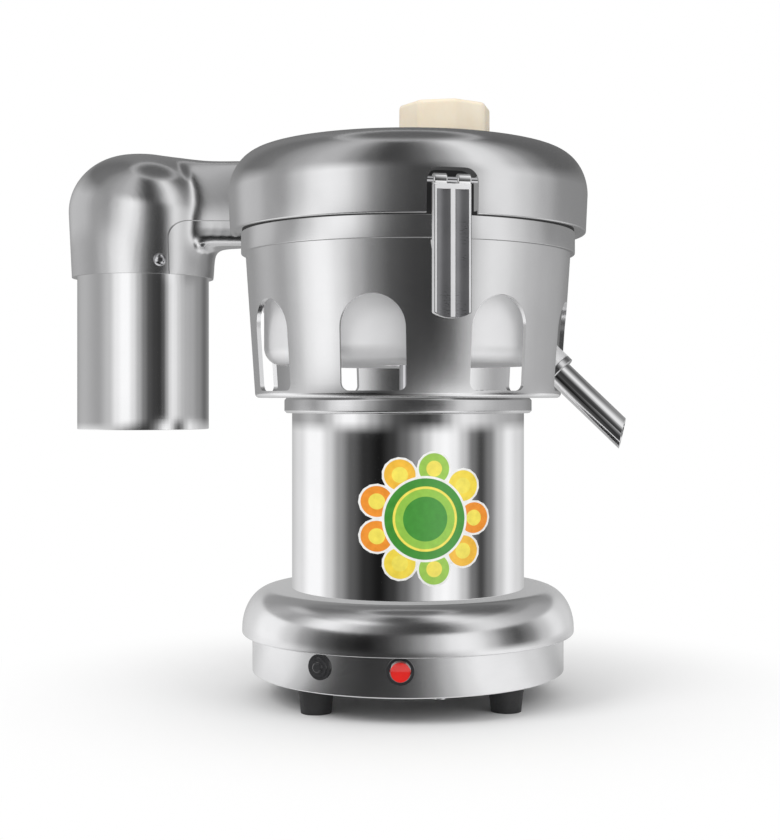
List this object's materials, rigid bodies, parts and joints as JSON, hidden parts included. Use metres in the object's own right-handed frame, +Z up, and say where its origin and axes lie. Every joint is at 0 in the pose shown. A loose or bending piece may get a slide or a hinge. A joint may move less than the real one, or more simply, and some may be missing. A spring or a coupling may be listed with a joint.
{
  "type": "countertop centrifugal juicer",
  "caption": "Cast and polished countertop juicer: motor column, arched shroud, bowl with spout, spinning grater basket, clamped lid with feed throat, pusher, pulp elbow and tube.",
  "frame": {"origin": "on the motor axis, in the plane of the feet", "axes": "+Z up along the motor axis, -Y the front with the switch, +X towards the juice spout, -X towards the pulp tube"},
  "size_m": [0.4014, 0.249, 0.4075],
  "materials": {
    "cast_aluminium": "satin cast and turned aluminium",
    "polished_steel": "mirror-polished stainless steel",
    "bowl_metal": "polished cast bowl",
    "latch_steel": "satin stainless bar with bright ribs",
    "strainer_steel": "perforated stainless sheet",
    "screw_steel": "bright zinc and stainless fasteners",
    "bearing_steel": "bearing steel",
    "motor_cast": "rough cast aluminium",
    "lamination": "varnished lamination stack",
    "copper": "enamelled copper end turns",
    "plate_paint": "dark painted sheet",
    "black_plastic": "black moulded plastic",
    "red_plastic": "glossy red rocker",
    "cream_plastic": "cream food-grade plastic",
    "pale_plastic": "pale moulded plastic",
    "rubber": "black rubber",
    "sticker": null
  },
  "bodies": {
    "frame": {"base_casting": "cast_aluminium", "base_plate": "plate_paint", "base_plate_screws": "screw_steel", "feet": "rubber", "foot_screws": "screw_steel", "cord_gland": "black_plastic", "motor_shell": "polished_steel", "neck_ring": "cast_aluminium", "lower_end_shield": "motor_cast", "upper_end_shield": "motor_cast", "stator_core": "lamination", "stator_windings": "copper", "through_bolts": "screw_steel", "lower_bearing": "bearing_steel", "upper_bearing": "bearing_steel", "run_capacitor": "pale_plastic", "capacitor_clamp": "screw_steel", "terminal_block": "pale_plastic", "shroud": "cast_aluminium", "shroud_screws": "screw_steel", "juice_bowl": "bowl_metal", "bowl_gasket": "rubber", "juice_spout": "polished_steel", "spout_nut": "screw_steel", "shaft_seal": "rubber", "switch_bezel": "black_plastic", "switch_nut": "black_plastic", "reset_body": "black_plastic", "reset_nut": "black_plastic", "front_sticker": "sticker"},
    "lid_assembly": {"lid": "cast_aluminium", "feed_throat": "cast_aluminium", "pulp_tube": "polished_steel", "tube_screws": "screw_steel", "latch_pins": "screw_steel"},
    "pusher": {"pusher": "cream_plastic"},
    "front_latch": {"front_latch_handle": "latch_steel"},
    "rear_latch": {"rear_latch_handle": "latch_steel"},
    "spindle": {"motor_shaft": "bearing_steel", "rotor_core": "lamination", "cooling_fan": "black_plastic", "drive_hub": "cast_aluminium", "strainer_basket": "strainer_steel", "basket_rim": "strainer_steel", "grater_disc": "strainer_steel", "lock_nut": "screw_steel"},
    "power_rocker": {"switch_rocker": "red_plastic"},
    "reset_pin": {"reset_button": "black_plastic"}
  },
  "joints": [
    {"name": "lid_lift", "type": "slide", "parent": "frame", "child": "lid_assembly", "axis": [0, 0, 1], "range_m": [0, 0.07]},
    {"name": "front_latch_swing", "type": "hinge", "parent": "lid_assembly", "child": "front_latch", "pos_m": [0.0505, -0.1083, 0.34], "axis": [-0.9063, -0.4226, 0], "range_deg": [0, 100]},
    {"name": "rear_latch_swing", "type": "hinge", "parent": "lid_assembly", "child": "rear_latch", "pos_m": [-0.0505, 0.1083, 0.34], "axis": [0.9063, 0.4226, 0], "range_deg": [0, 100]},
    {"name": "pusher_slide", "type": "slide", "parent": "lid_assembly", "child": "pusher", "axis": [0, 0, 1], "range_m": [0, 0.12]},
    {"name": "spindle_spin", "type": "hinge", "parent": "frame", "child": "spindle", "pos_m": [0, 0, 0.2], "axis": [0, 0, 1], "continuous": true},
    {"name": "power_rock", "type": "hinge", "parent": "frame", "child": "power_rocker", "pos_m": [0.01755, -0.10484, 0.035], "axis": [0.9863, 0.165, 0], "range_deg": [-16, 0]},
    {"name": "reset_press", "type": "slide", "parent": "frame", "child": "reset_pin", "axis": [0.3223, 0.9466, 0], "range_m": [0, 0.0025], "stiffness_N_per_m": 600}
  ],
  "couplings": [
    {"joint": "front_latch_swing", "follows": "lid_lift", "rad_per_m": 24.933},
    {"joint": "rear_latch_swing", "follows": "lid_lift", "rad_per_m": 24.933}
  ]
}
